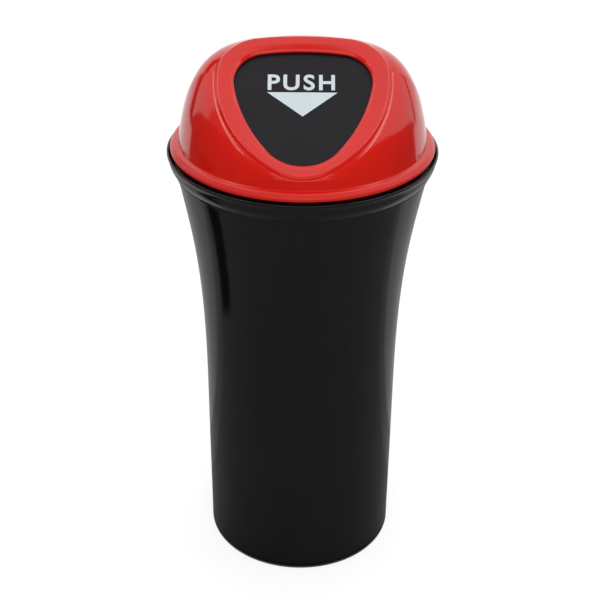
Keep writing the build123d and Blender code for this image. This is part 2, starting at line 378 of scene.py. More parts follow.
def tones(nodes, links, value, dark, light):
    """Colour that drifts between two close tones."""
    ramp = nodes.new("ShaderNodeValToRGB")
    for stop, place, tone in zip(ramp.color_ramp.elements, TONE_SPAN, (dark, light)):
        stop.position = place
        stop.color = (*tone, 1)
    links.new(value, ramp.inputs["Fac"])
    return ramp.outputs["Color"]


def moulded(name, dark, light, roughness, ripples, ripple_depth, refraction=1.5, satin_below=None):
    """Moulded plastic: drifting colour, patchy gloss, a shallow ripple, and satin below a given height."""
    made, shader, nodes, links, place = material(name)
    drift = noise(nodes, links, place, *COLOUR_DRIFT)
    links.new(tones(nodes, links, drift, dark, light), shader.inputs["Base Color"])
    patches = noise(nodes, links, place, *GLOSS_PATCHES)
    finish = rescaled(nodes, links, patches, *roughness, *NOISE_SPAN).outputs["Result"]
    if satin_below:
        parts = nodes.new("ShaderNodeSeparateXYZ")
        links.new(place, parts.inputs["Vector"])
        satin_top = satin_below + SATIN_FADE
        satin = rescaled(nodes, links, parts.outputs["Z"], SATIN_ROUGHNESS, 1.0, satin_below, satin_top)
        links.new(finish, satin.inputs["To Max"])
        finish = satin.outputs["Result"]
    links.new(finish, shader.inputs["Roughness"])
    bump = nodes.new("ShaderNodeBump")
    bump.inputs["Strength"].default_value = 1.0
    bump.inputs["Distance"].default_value = ripple_depth
    links.new(noise(nodes, links, place, ripples, RIPPLE_DETAIL), bump.inputs["Height"])
    links.new(bump.outputs["Normal"], shader.inputs["Normal"])
    shader.inputs["IOR"].default_value = refraction
    return made


def drawn_steel(name, dark, light, roughness):
    """Drawn steel: bright metal with fine patches of duller and brighter gloss."""
    made, shader, nodes, links, place = material(name)
    drift = noise(nodes, links, place, *STEEL_TONES)
    links.new(tones(nodes, links, drift, dark, light), shader.inputs["Base Color"])
    patches = noise(nodes, links, place, *STEEL_GLOSS)
    finish = rescaled(nodes, links, patches, *roughness, *NOISE_SPAN)
    links.new(finish.outputs["Result"], shader.inputs["Roughness"])
    shader.inputs["Metallic"].default_value = 1.0
    return made


# %% [markdown]
# ## Plastics, print and steel
#
# The bin and the lid shine. The lid's flange is satin as far up as its shoulder, like an edge that is left
# unpolished in the mould. The flap has a fine satin grain all over. The ink is dull and a little bluish, and
# the hidden pin and spring are drawn steel.

# %% Plastics, print and steel
black_plastic = moulded(
    "black_gloss",
    dark=(0.0034, 0.0028, 0.0035),
    light=(0.0042, 0.0036, 0.0043),
    roughness=(0.10, 0.15),
    ripples=260,
    ripple_depth=2e-6,
)
red_plastic = moulded(
    "red_gloss",
    dark=(0.575, 0.0085, 0.0035),
    light=(0.600, 0.0100, 0.0045),
    roughness=(0.09, 0.13),
    ripples=260,
    ripple_depth=2e-6,
    refraction=1.55,
    satin_below=0.1491,
)
charcoal_plastic = moulded(
    "charcoal_satin",
    dark=(0.0062, 0.0050, 0.0070),
    light=(0.0078, 0.0064, 0.0086),
    roughness=(0.38, 0.46),
    ripples=2600,
    ripple_depth=3e-6,
)
FLAP_SHINE = 0.25
charcoal_plastic.node_tree.nodes["Principled BSDF"].inputs["Specular IOR Level"].default_value = FLAP_SHINE
white_ink = moulded(
    "white_ink",
    dark=(0.54, 0.61, 0.65),
    light=(0.58, 0.65, 0.68),
    roughness=(0.45, 0.55),
    ripples=1800,
    ripple_depth=2e-6,
)
steel = drawn_steel("drawn_steel", dark=(0.46, 0.46, 0.47), light=(0.60, 0.60, 0.61), roughness=(0.2, 0.36))
finishes = (black_plastic, red_plastic, charcoal_plastic, white_ink, steel)
print("materials:", [finish.name for finish in finishes])

# %% [markdown]
# ## The bin's profile
#
# The real bin is one moulding with a turned shape, so one profile of radius and height describes it all: the
# foot ring, the long wall that flares out, the collar with its small step, the rolled rim, and the inside
# down to the floor. In Blender this could be a Screw modifier on a curve. A computed table of points does
# the same and keeps the control over where the points lie: close together in the rounds, far apart on the
# walls.

# %% Outside of the bin
ring_inner = BASE_RADIUS - FOOT_RING
foot_corners = [(0, FOOT_RECESS), (ring_inner, FOOT_RECESS), (ring_inner, 0), (BASE_RADIUS, 0), WALL_START]
foot = soften(foot_corners, [FOOT_RING_ROUND, FOOT_RING_ROUND, BASE_ROUND])
wall_knots = [WALL_START, BELLY, WAIST, FLARE, COLLAR_FOOT]
wall = flowing(wall_knots, WALL_START_WAY, WALL_END_WAY, WALL_STEPS)
bead_turn = np.linspace(-math.pi / 3, 0, ROUND_STEPS)
bead_middle = np.array([RIM_RADIUS - BEAD_RADIUS, RIM_TOP - BEAD_RADIUS])
bead = bead_middle + BEAD_RADIUS * np.column_stack([np.cos(bead_turn), np.sin(bead_turn)])
collar_corners = [(COLLAR_FOOT[0] + out, COLLAR_FOOT[1] + up) for out, up in COLLAR_CORNERS]
collar = soften([wall[-2], COLLAR_FOOT, *collar_corners, bead[0]], COLLAR_ROUNDS, ROUND_STEPS)
print("outside of the bin:", len(foot) + len(wall) + len(collar) + len(bead), "points")

# %% Mouth and inside of the bin
mouth = soften(
    [
        bead[-1],
        (RIM_RADIUS, RIM_TOP),
        (RIM_RADIUS - RIM_LAND, RIM_TOP),
        (RIM_RADIUS - RIM_SLOPE_IN, RIM_TOP - RIM_SLOPE_DOWN),
        (MOUTH_RADIUS + LEAD_IN, RIM_TOP - RIM_SLOPE_DOWN),
        (MOUTH_RADIUS, RIM_TOP - RIM_SLOPE_DOWN - LEAD_IN),
        (MOUTH_RADIUS, COLLAR_FOOT[1]),
    ],
    MOUTH_ROUNDS,
)
inside_foot = (BASE_RADIUS - BIN_WALL, FLOOR_TOP + FLOOR_ROUND)
inside_knots = [inside_foot] + [(radius - BIN_WALL, height) for radius, height in wall_knots[1:]]
inside = flowing(inside_knots, WALL_START_WAY, WALL_END_WAY, INSIDE_STEPS)[::-1]
floor_corners = [inside_foot, (inside_foot[0], FLOOR_TOP), (0, FLOOR_TOP)]
floor_round = soften(floor_corners, [FLOOR_ROUND], FLOOR_STEPS)
print("inside of the bin:", len(mouth) + len(inside) + len(floor_round), "points")

# %% [markdown]
# ## The bin
#
# The mould's cavity for the bin is turned on a lathe, and so is its skin: the profile is swung round the
# upright axis in small steps, fine enough that the edge of the rim shows no corners.

# %% Bin
bin_profile = np.vstack([foot[:-1], wall[:-2], collar[:-1], bead, mouth[1:], inside[1:-1], floor_round])
bin_points = turned(bin_profile, np.linspace(0, 2 * math.pi, BIN_SEGMENTS, endpoint=False))
bin_faces = grid(*bin_points.shape[:2], True, False)
bin_skin = piece("bin_skin", bin_points, bin_faces, "bin", black_plastic)
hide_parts("bin")

# %% [markdown]
# ## The outlines of the slanted face
#
# The ridge and the opening are rounded triangles of six arcs that run tangent into each other: a small one
# at the low end, two bowed sides, two upper corners and a nearly straight top. Curves drawn by hand would
# show flat spots in the gloss, and arcs don't. The two outlines have arcs of their own, so the bezel between
# them isn't evenly wide. A point is found from the direction of the outline's outward normal, and moving it
# along that normal gives a parallel outline such as the rebate.

# %% Outlines on the face
FACE_ACROSS = np.array([1.0, 0.0, 0.0])
FACE_UP = np.array([0.0, math.cos(FACE_ANGLE), math.sin(FACE_ANGLE)])
FACE_OUT = np.array([0.0, -math.sin(FACE_ANGLE), math.cos(FACE_ANGLE)])


def rounded_triangle(toe_up, toe_radius, corner_across, corner_up, corner_radius, side_radius, top_radius):
    """Centres, radii and end bearings of the right half's arcs: toe, bowed side, corner and top.

    Two arcs run tangent into each other where their centres lie as far apart as their radii differ. The
    centre of the side is the point that has this distance from both the toe's and the corner's centre.
    """
    toe, corner = np.array([0.0, toe_up + toe_radius]), np.array([corner_across, corner_up])
    span = corner - toe
    length = np.linalg.norm(span)
    step = span / length
    toe_reach, corner_reach = side_radius - toe_radius, side_radius - corner_radius
    along = (toe_reach**2 - corner_reach**2 + length**2) / (2 * length)
    side = toe + step * along + np.array([-step[1], step[0]]) * math.sqrt(toe_reach**2 - along**2)
    top_drop = math.sqrt((top_radius - corner_radius) ** 2 - corner_across**2)
    top = np.array([0.0, corner_up - top_drop])
    ends = [math.atan2(*way[::-1]) for way in (toe - side, corner - side, corner - top)]
    radii = np.array([toe_radius, side_radius, corner_radius, top_radius])
    return np.array([toe, side, corner, top]), radii, ends


def outline(arcs, bearing, inset):
    """Across and up-the-slope places of an outline where its outward normal has this bearing.

    A place is the centre of the arc with that bearing, plus the radius less the inset times the cosine and
    the sine of the bearing. The left half mirrors the right half.
    """
    centres, radii, ends = arcs
    lean = np.arcsin(np.sin(bearing))
    arc = np.searchsorted(ends, lean, side="right")
    radius = radii[arc] - inset
    across = (centres[arc, 0] + radius * np.cos(lean)) * np.sign(np.cos(bearing))
    return across, centres[arc, 1] + radius * np.sin(lean)


def on_face(across, up, level):
    """Points of the part from places on the slanted face and levels along its outward normal."""
    across, up, level = (np.asarray(value, float)[..., None] for value in (across, up, level))
    return FACE_ORIGIN + across * FACE_ACROSS + up * FACE_UP + level * FACE_OUT


ridge_arcs = rounded_triangle(**RIDGE_SIZES)
opening_arcs = rounded_triangle(**OPENING_SIZES)
for outline_name, arcs in (("ridge", ridge_arcs), ("opening", opening_arcs)):
    print(outline_name, "has arcs that end at", np.degrees(arcs[2]).round(1), "degrees")

# %% [markdown]
# ## The lid's dome
#
# The lid is one moulding too, and its dome is the hard part of the object: the foot is a circle, the top is
# the slanted rounded triangle, and the surface swells between them. It could be a lofted or a subdivided
# mesh, but those ripple where the outline bends. So at every bearing round the lid one cubic profile leaves
# the foot upright and arrives at the ridge with its own slope, and both change smoothly with the bearing.

# %% Dome
BEARINGS = np.linspace(0, 2 * math.pi, LID_SEGMENTS, endpoint=False)[:, None]
UPRIGHT = np.array([0, 0, 1])
FLAT = np.array([1, 1, 0])


def front_to_back(pair, back):
    """Value between the front's and the back's, as far as the bearing lies towards the back."""
    return pair[0] + (pair[1] - pair[0]) * back


def dome_points(share, inset, ridge_inset, ridge_level):
    """The dome's cubic profiles at every bearing: share runs from 0 at the foot to 1 at the ridge.

    A point is the sum of the foot, a low handle, a high handle and the ridge, weighted by the cubic terms of
    the share. The low handle stands above the foot by a part of the ridge's height, the lift. The high
    handle lies outwards from the ridge by a part of the way to the foot, the fullness, and lower by that
    distance times the tangent of the fall.
    """
    foot_ring = turned(np.array([(DOME_RADIUS - inset, DOME_FOOT)]), BEARINGS)[:, 0]
    ridge = on_face(*outline(ridge_arcs, BEARINGS[:, 0], ridge_inset), ridge_level + 0 * BEARINGS[:, 0])
    back = np.maximum(np.sin(BEARINGS), 0) ** 2
    fall = np.radians(front_to_back(DOME_FALL_DEGREES, back))
    reach = (foot_ring - ridge) * FLAT * front_to_back(DOME_FULLNESS, back)
    low = foot_ring + (ridge - foot_ring) * UPRIGHT * front_to_back(DOME_LIFT, back)
    high = ridge + reach - UPRIGHT * np.linalg.norm(reach, axis=1, keepdims=True) * np.tan(fall)
    t = np.broadcast_to(share, (len(BEARINGS), np.shape(share)[-1]))[..., None]
    parts = [foot_ring, low, high, ridge]
    weights = [(1 - t) ** 3, 3 * (1 - t) ** 2 * t, 3 * (1 - t) * t**2, t**3]
    return sum(weight * part[:, None, :] for weight, part in zip(weights, parts))


low_share, high_share = np.zeros_like(BEARINGS), np.ones_like(BEARINGS)
for _ in range(JOIN_HALVINGS):
    middle_share = (low_share + high_share) / 2
    below = dome_points(middle_share, 0, -RIDGE_OUT, -RIDGE_DROP)[..., 2] < DOME_JOIN
    low_share = np.where(below, middle_share, low_share)
    high_share = np.where(below, high_share, middle_share)
dome_share = low_share + (1 - low_share) * np.linspace(0, 1, DOME_STEPS)[None, :]
dome_out = dome_points(dome_share, 0, -RIDGE_OUT, -RIDGE_DROP)
inside_share = np.linspace(1, 0, DOME_INSIDE_STEPS)[None, :-1]
dome_in = dome_points(inside_share, LID_WALL, LID_WALL, -LID_WALL)
print("the dome leaves the flange at", DOME_JOIN, "mm, at a share of", round(float(low_share.max()), 3))

# %% [markdown]
# ## The lid's flange and plug
#
# The plug presses into the bin's mouth and the flange rests on its rim. Both are turned shapes, so they are
# one profile again, from inside the plug, round its lower end, out under the flange and over its shoulder.

# %% Flange and plug
flange = soften(
    [
        (DOME_RADIUS - LID_WALL, DOME_FOOT),
        (PLUG_BORE, DOME_FOOT),
        (PLUG_BORE, PLUG_LOW),
        (PLUG_RADIUS - PLUG_LEAD, PLUG_LOW),
        (PLUG_RADIUS, PLUG_LOW + PLUG_LEAD),
        (PLUG_RADIUS, FLANGE_LOW),
        (FLANGE_RADIUS, FLANGE_LOW),
        (FLANGE_RADIUS, FLANGE_LOW + FLANGE_EDGE),
        (DOME_RADIUS + SHOULDER_OUT, FLANGE_TOP - SHOULDER_DOWN),
        (DOME_RADIUS, FLANGE_TOP + FILLET_UP),
        (DOME_RADIUS, DOME_JOIN),
    ],
    FLANGE_ROUNDS,
    ROUND_STEPS,
)
flange_points = turned(flange[:-1], BEARINGS)
print("flange and plug:", flange_points.shape[0], "bearings of", flange_points.shape[1], "points")

# %% [markdown]
# ## The lid's ridge, bezel and opening
#
# A raised ridge runs round the slanted face. Inside it the bezel is dished, has a soft crease, and ends in a
# small chamfer at the opening, with a lip and a rebate for the flap behind. Bevelled edges would give such a
# ridge one even width, but the two outlines differ. So one profile is carried round the face: it follows the
# ridge's outline as far as the crease and goes over to the opening's outline beyond it.

# %% Ridge, bezel and opening
cap_turn = np.linspace(0, 1, RIDGE_STEPS)[1:, None]
cap = cap_turn**2 * [RIDGE_IN, 0] - (1 - cap_turn) ** 2 * [RIDGE_OUT, RIDGE_DROP]
dish = soften(
    [
        cap[-1],
        (CREASE, CREASE_LEVEL),
        (BEZEL - EDGE_CUT, BEZEL_LEVEL + EDGE_CUT_RISE),
        (BEZEL, BEZEL_LEVEL - EDGE_CUT_DROP),
        (BEZEL, LIP_LEVEL),
    ],
    DISH_ROUNDS,
    ROUND_STEPS,
)
bezel = np.vstack([cap, dish[1:]])
opening_share = np.clip((bezel[:, 0] - CREASE) / (BEZEL - CREASE), 0, 1)[None, :, None]
ridge_side = np.stack(outline(ridge_arcs, BEARINGS, np.minimum(bezel[None, :, 0], CREASE)), axis=-1)
opening_side = np.stack(outline(opening_arcs, BEARINGS, np.zeros((1, len(bezel)))), axis=-1)
bezel_flat = (1 - opening_share) * ridge_side + opening_share * opening_side
bezel_points = on_face(bezel_flat[..., 0], bezel_flat[..., 1], bezel[None, :, 1] + 0 * BEARINGS)
lip_corners = [(0, LIP_START), (0, LIP_LEVEL), (-REBATE, LIP_LEVEL), (-REBATE, -LID_WALL)]
lip = soften(lip_corners, LIP_ROUNDS, LIP_STEPS)[1:]
lip_points = on_face(*outline(opening_arcs, BEARINGS, lip[None, :, 0]), lip[None, :, 1] + 0 * BEARINGS)
print("ridge and bezel:", len(bezel), "points across, lip:", len(lip), "points")

# %% [markdown]
# ## The lid
#
# All the profiles have the same bearings, so the whole shell becomes a single closed table: round the plug
# and the flange, up the dome, over the ridge, down the bezel, round the lip and back down inside.

# %% Lid
lid_rows = [flange_points, dome_out, bezel_points[:, :-1], lip_points, dome_in]
lid_points = np.concatenate(lid_rows, axis=1)
lid_faces = grid(*lid_points.shape[:2], True, True)
lid_skin = piece("lid_skin", lid_points, lid_faces, "lid", red_plastic)
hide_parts("lid")

# %% [markdown]
# ## Hooks for the hinge pin
#
# Under the top of the face the real lid needs two open hooks that the pin snaps into, and a small pad for
# the fixed leg of the spring. They are seen only when the lid is off or the flap is open. They are plain
# shapes with one outline, so the outline is drawn in the hinge's own frame and extruded along the pin.

# %% Hooks and spring pad
SHARP_EDGE = math.radians(40)


def hinge_frame(across, up, level):
    """Points from places in the hinge's own frame: along the pin, up the slope and along the normal."""
    return on_face(across, np.asarray(up) + HINGE_UP, np.asarray(level) + HINGE_LEVEL)


def arc_points(radius, start, end, count):
    """Points of an arc about the pin: the radius times the cosine and the sine of the turn."""
    turn = np.linspace(start, end, count)
    return radius * np.column_stack([np.cos(turn), np.sin(turn)])


def extruded(name, outline_points, low, high):
    """Closed outline in the hinge's frame, drawn out along the pin between two places, with flat ends."""
    count = len(outline_points)
    ends = np.array([low, high])[:, None] + np.zeros(count)
    points = hinge_frame(ends, outline_points[:, 0] + 0 * ends, outline_points[:, 1] + 0 * ends)
    faces = [list(quad) for quad in grid(2, count, False, True)]
    faces += [list(range(count))[::-1], list(range(count, 2 * count))]
    made = piece(name, points, faces, "lid", red_plastic)
    made.data.set_sharp_from_angle(angle=SHARP_EDGE)
    return made


mouth_out = math.asin(HOOK_MOUTH / 2 / KNUCKLE_RADIUS)
mouth_in = math.asin(HOOK_MOUTH / 2 / PIN_BORE)
hook_root = -HINGE_LEVEL - LID_WALL / 2
hook_outline = np.vstack(
    [
        arc_points(KNUCKLE_RADIUS, -math.pi / 2 + mouth_out, 0, HOOK_QUARTER_STEPS),
        [(KNUCKLE_RADIUS, hook_root), (0, hook_root)],
        arc_points(KNUCKLE_RADIUS, math.pi / 2, 1.5 * math.pi - mouth_out, HOOK_HALF_STEPS),
        arc_points(PIN_BORE, 1.5 * math.pi - mouth_in, -math.pi / 2 + mouth_in, HOOK_BORE_STEPS),
    ]
)
for side_name, hook_low in (("left", -HOOK_ACROSS - HOOK_WIDTH), ("right", HOOK_ACROSS)):
    extruded("hook_" + side_name, hook_outline, hook_low, hook_low + HOOK_WIDTH)

pad_near = COIL_RADIUS + WIRE_RADIUS + PAD_GAP
pad_far = pad_near + PAD_THICKNESS
leg_out = np.array([math.cos(LEG_BEARING), math.sin(LEG_BEARING)])
leg_along = np.array([math.sin(LEG_BEARING), -math.cos(LEG_BEARING)])
pad_corners = [(pad_near, 0.0), (pad_near, LID_LEG), (pad_far, LID_LEG), (pad_far, 0.0)]
pad_outline = np.array([leg_out * out + leg_along * run for out, run in pad_corners])
extruded("spring_pad", pad_outline, COIL_START - PAD_HALF_WIDTH, COIL_START + PAD_HALF_WIDTH)

# %% [markdown]
# ## Flap and pin
#
# The flap and the pin are plain shapes that the solids already give in full, so their CAD meshes only get a
# material.

# %% Flap and pin
for node, finish, slot in (("flap", charcoal_plastic, "charcoal_plastic"), ("hinge_pin", steel, "steel")):
    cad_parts[node].data.materials.clear()
    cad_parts[node].data.materials.append(finish)
    print(node, "is made of", finish.name)

# %% [markdown]
# ## Spring
#
# The real spring twists when the flap is pushed: one leg stays on the lid and the other follows the flap.
# Here the wire is a table of rings along a path of leg, coil and leg, and it isn't hung on a body.

# %% Spring
# The points of a leg stop a little short of the coil, whose end point takes over.
LEG_STOP = 0.02

coil_sweep = 2 * math.pi * COIL_TURNS + math.pi / 2 - LEG_BEARING
coil_across = COIL_START + COIL_PITCH * np.linspace(0, coil_sweep, COIL_STEPS) / (2 * math.pi)
coil_turns = arc_points(COIL_RADIUS, LEG_BEARING, LEG_BEARING + coil_sweep, COIL_STEPS)
coil_path = np.column_stack([coil_across, coil_turns])
leg_share = np.linspace(1, LEG_STOP, LEG_STEPS)[:, None]
lid_leg = coil_path[0] + leg_share * LID_LEG * np.array([0, *leg_along])
flap_leg = coil_path[-1] + leg_share[::-1] * FLAP_LEG * np.array([0, -1, 0])
wire_path = np.vstack([lid_leg, coil_path, flap_leg])
wire_way = np.gradient(wire_path, axis=0)
wire_way /= np.linalg.norm(wire_way, axis=1, keepdims=True)
wire_side = np.cross(wire_way, [1.0, 0.0, 0.0])
wire_side /= np.linalg.norm(wire_side, axis=1, keepdims=True)
wire_up = np.cross(wire_way, wire_side)
around = np.linspace(0, 2 * math.pi, WIRE_SEGMENTS, endpoint=False)[None, :, None]
wire_ring = np.cos(around) * wire_side[:, None] + np.sin(around) * wire_up[:, None]
wire_ends = np.repeat(wire_path[[0, -1], None], WIRE_SEGMENTS, axis=1)
wire = np.concatenate([wire_ends[:1], wire_path[:, None] + WIRE_RADIUS * wire_ring, wire_ends[1:]], axis=0)
spring_points = hinge_frame(wire[..., 0], wire[..., 1], wire[..., 2])
spring = piece("spring_wire", spring_points, grid(*wire.shape[:2], False, True), None, steel)
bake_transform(spring)
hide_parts("torsion_spring")

# %% [markdown]
# ## The printed legend
#
# The flap is printed with a plain word and an arrowhead that say where to press. Ink is a few hundredths of
# a millimetre thick, so each shape is a flat mesh that lies just above the flap. A picture on the flap could
# show it too, but its edges would blur. The word is made a mesh first and then stretched to the width and
# the height that it has on the flap.

# %% Legend
LETTER_SPACING = 1.22
LETTER_SWELL = 0.024
LETTER_STEPS = 16


def printed(name, flat_points, faces):
    """Flat shape in places across and up the face, laid on the flap as ink."""
    level = np.full(len(flat_points), FLAP_FRONT + INK_THICKNESS)
    points = on_face(flat_points[:, 0], flat_points[:, 1], level)
    return piece(name, points, faces, "flap", white_ink)


def word_mesh(word):
    """Letters of a word as a flat mesh: places from 0 to 1 across and up, and the faces."""
    text = bpy.data.curves.new("legend_text", "FONT")
    text.body = word
    text.space_character = LETTER_SPACING
    text.offset = LETTER_SWELL
    text.resolution_u = LETTER_STEPS
    text_object = bpy.data.objects.new("legend_text", text)
    bpy.context.scene.collection.objects.link(text_object)
    bpy.context.view_layer.update()
    evaluated = text_object.evaluated_get(bpy.context.evaluated_depsgraph_get())
    letters = bpy.data.meshes.new_from_object(evaluated)
    bpy.data.objects.remove(text_object)
    flat = np.zeros(3 * len(letters.vertices))
    letters.vertices.foreach_get("co", flat)
    flat = flat.reshape(-1, 3)[:, :2]
    faces = [list(polygon.vertices) for polygon in letters.polygons]
    bpy.data.meshes.remove(letters)
    return (flat - flat.min(0)) / (flat.max(0) - flat.min(0)), faces


letter_places, letter_faces = word_mesh("PUSH")
printed("legend_push", WORD_CORNER + letter_places * WORD_SIZE, letter_faces)
printed("legend_arrow", ARROW_CORNERS, [[0, 1, 2]])

# %% [markdown]
# ## Tools for the studio
#
# The picture shows the bin on pure white. The floor and the room glow white for the rays that come from the
# camera and for those that leave a shiny surface, so the background and its mirror image agree. Rays that
# light the object don't see that glow, so it adds no light. Overexposing the floor with lamps would give
# white too, but it would wash out the shadow.


# %% Tools for the studio
def seen_or_mirrored(nodes, links):
    """1 for a ray from the camera or from a shiny or clear surface, and 0 for a ray that carries light."""
    path = nodes.new("ShaderNodeLightPath")
    level = path.outputs["Is Camera Ray"]
    for kind in ("Is Glossy Ray", "Is Transmission Ray"):
        either = nodes.new("ShaderNodeMath")
        either.operation = "MAXIMUM"
        links.new(level, either.inputs[0])
        links.new(path.outputs[kind], either.inputs[1])
        level = either.outputs[0]
    return level


def stage_mesh(name, points, faces, finish):
    """Surface that isn't part of the object, from points in metres."""
    mesh = bpy.data.meshes.new(name)
    mesh.from_pydata(np.asarray(points, float).reshape(-1, 3), [], faces)
    mesh.materials.append(finish)
    made = bpy.data.objects.new(name, mesh)
    bpy.context.scene.collection.objects.link(made)
    print(name, "has", len(mesh.polygons), "faces")
    return made


# %% [markdown]
# ## Floor
#
# The floor is a grey, dull sheet that looks white through its glow. The glow is a little weaker at the
# object than a metre away: near the object it leaves room for the light of the lamps, so that the shadow
# stays to be seen, and far away the floor runs into the white of the room without a horizon.

# %% Floor
FLOOR_GREY = 0.30
GLOW_NEAR = 0.75
GLOW_FAR = 0.87
FLOOR_CORNERS = [(-6, -6, 0), (6, -6, 0), (6, 6, 0), (-6, 6, 0)]

floor_finish = bpy.data.materials.new("floor")
floor_finish.use_nodes = True
floor_nodes, floor_links = floor_finish.node_tree.nodes, floor_finish.node_tree.links
floor_nodes.remove(floor_nodes["Principled BSDF"])
pale = floor_nodes.new("ShaderNodeBsdfDiffuse")
pale.inputs["Color"].default_value = (FLOOR_GREY, FLOOR_GREY, FLOOR_GREY, 1)
metres_away = floor_nodes.new("ShaderNodeVectorMath")
metres_away.operation = "LENGTH"
floor_links.new(floor_nodes.new("ShaderNodeTexCoord").outputs["Object"], metres_away.inputs[0])
glow_by_place = rescaled(floor_nodes, floor_links, metres_away.outputs["Value"], GLOW_NEAR, GLOW_FAR)
glow_level = floor_nodes.new("ShaderNodeMath")
glow_level.operation = "MULTIPLY"
floor_links.new(seen_or_mirrored(floor_nodes, floor_links), glow_level.inputs[0])
floor_links.new(glow_by_place.outputs["Result"], glow_level.inputs[1])
glow = floor_nodes.new("ShaderNodeEmission")
floor_links.new(glow_level.outputs[0], glow.inputs["Strength"])
both = floor_nodes.new("ShaderNodeAddShader")
floor_links.new(pale.outputs[0], both.inputs[0])
floor_links.new(glow.outputs[0], both.inputs[1])
floor_links.new(both.outputs[0], floor_nodes["Material Output"].inputs["Surface"])
stage_mesh("floor", FLOOR_CORNERS, [(0, 1, 2, 3)], floor_finish)

# %% [markdown]
# ## Room
#
# The room is the world round the object. It is seen as white, and lights the object more weakly than that,
# so that the lamps can shape it.

# %% Room
ROOM_LIGHT = 0.45
ROOM_SEEN = 1.0

room = bpy.data.worlds.new("room")
room.use_nodes = True
room_nodes, room_links = room.node_tree.nodes, room.node_tree.links
air = room_nodes["Background"]
air.inputs["Color"].default_value = (1, 1, 1, 1)
room_seen = seen_or_mirrored(room_nodes, room_links)
room_level = rescaled(room_nodes, room_links, room_seen, ROOM_LIGHT, ROOM_SEEN)
room_links.new(room_level.outputs["Result"], air.inputs["Strength"])
bpy.context.scene.world = room
print("the room lights with", ROOM_LIGHT, "and is seen as", ROOM_SEEN)

# %% [markdown]
# ## Cloth and cards for the reflections
#
# A glossy black thing in a white room looks grey, because it mirrors white everywhere. A photographer hangs
# dark cloth round the camera and lays cards in front of the product, and the dome of this lid shows just
# that: a dark front with an edge that falls from overhead to the floor at each side, a narrow dark upright
# behind it, and white beyond. Straight ahead a window is left between a low and a high cloth, and a pale
# flag lightens a part of the left cloth. A picture wrapped round the scene could hold all that, but plain
# cards are easier to move. They are seen by reflections only and cast no shadow.

# %% Tools for cloth and cards
LID_HEIGHT = 0.165
CLOTH_TONES = (0.95, 1.05)
CLOTH_COLUMNS = 120


def card(name, points, faces, shade):
    """Cloth or card of a grey shade that shows in reflections and nowhere else."""
    dark, light = ((tone * shade,) * 3 for tone in CLOTH_TONES)
    finish = moulded(name + "_cloth", dark, light, roughness=(0.9, 1.0), ripples=90, ripple_depth=1e-6)
    made = stage_mesh(name, points, faces, finish)
    for ray in ("camera", "diffuse", "transmission", "volume_scatter", "shadow"):
        setattr(made, "visible_" + ray, False)
    return made


def hung(name, reach, low_edge, high_edge, shade):
    """Cloth hung on a curve round the lid, between two edges given as bearings and elevations in degrees.

    A place lies at the reach from the upright axis. Its height is the lid's, plus the reach times the
    tangent of the elevation, and no lower than the floor.
    """
    way = np.linspace(high_edge[0][0], high_edge[-1][0], CLOTH_COLUMNS)
    across, deep = reach * np.sin(np.radians(way)), -reach * np.cos(np.radians(way))
    rows = []
    for edge in (low_edge, high_edge):
        rise = np.radians(np.interp(way, *np.transpose(edge)))
        height = np.maximum(LID_HEIGHT + reach * np.tan(rise), 0.0)
        rows.append(np.column_stack([across, deep, height]))
    return card(name, np.stack(rows), grid(2, len(way), False, False), shade)


def laid(name, corners, level, shade):
    """Flat card on the floor, from its corners in plan."""
    return card(name, [(*corner, level) for corner in corners], [tuple(range(len(corners)))], shade)


# %% [markdown]
# ## Hung cloth
#
# The edges of the cloth are given by their bearings and elevations as seen from the lid. The cloth hangs far
# away compared with the size of the lid, so what a spot on the dome mirrors depends almost only on these.

# %% Hung cloth
CLOTH_REACH = 2.2
CLOTH_SHADE = 0.16
TO_FLOOR = [(-180, -40), (180, -40)]
left_edge = [(-123, -3), (-108, 14), (-95, 25), (-90, 45), (-86, 57), (-50, 66), (-30, 71)]
right_edge = [(30, 73), (50, 68), (57, 63), (60, 58), (68, 45), (80, 31), (90, 20), (100, 12), (113, 4)]
right_edge += [(122, -3)]
hung("left_cloth", CLOTH_REACH, TO_FLOOR, left_edge, CLOTH_SHADE)
hung("right_cloth", CLOTH_REACH, TO_FLOOR, right_edge, CLOTH_SHADE)
hung("middle_cloth", CLOTH_REACH, [(-30, 50), (30, 50)], [(-30, 71), (30, 73)], CLOTH_SHADE)
hung("low_cloth", CLOTH_REACH, TO_FLOOR, [(-30, 28), (30, 28)], CLOTH_SHADE)

FLAG_REACH = 2.1
FLAG_SHADE = 0.7
hung("left_flag", FLAG_REACH, [(-94, 27), (-73, 44)], [(-94, 30), (-88, 57), (-73, 60)], FLAG_SHADE)

UPRIGHT_REACH = 1.8
UPRIGHT_SHADE = 0.05
left_low = [(-146, 24), (-131, 20), (-130.5, -40), (-122, -40)]
left_high = [(-146, 26), (-138, 38), (-122, 38)]
hung("right_upright", UPRIGHT_REACH, TO_FLOOR, [(123.5, 35), (127, 35)], UPRIGHT_SHADE)
hung("left_upright", UPRIGHT_REACH, left_low, left_high, UPRIGHT_SHADE)

# %% [markdown]
# ## Cards near the object
#
# A narrow black card close to the bin's left side draws the dark streak there. The cards on the floor get
# paler from the front to the back, and the wall of the bin and the flange mirror them.

# %% Cards near the object
STREAK_ACROSS = -0.085
STREAK_SHADE = 0.01
streak_side = [(-0.024, 0.052), (-0.005, 0.052), (-0.012, 0.15), (-0.032, 0.15)]
card("side_strip", [(STREAK_ACROSS, *corner) for corner in streak_side], [(0, 1, 2, 3)], STREAK_SHADE)

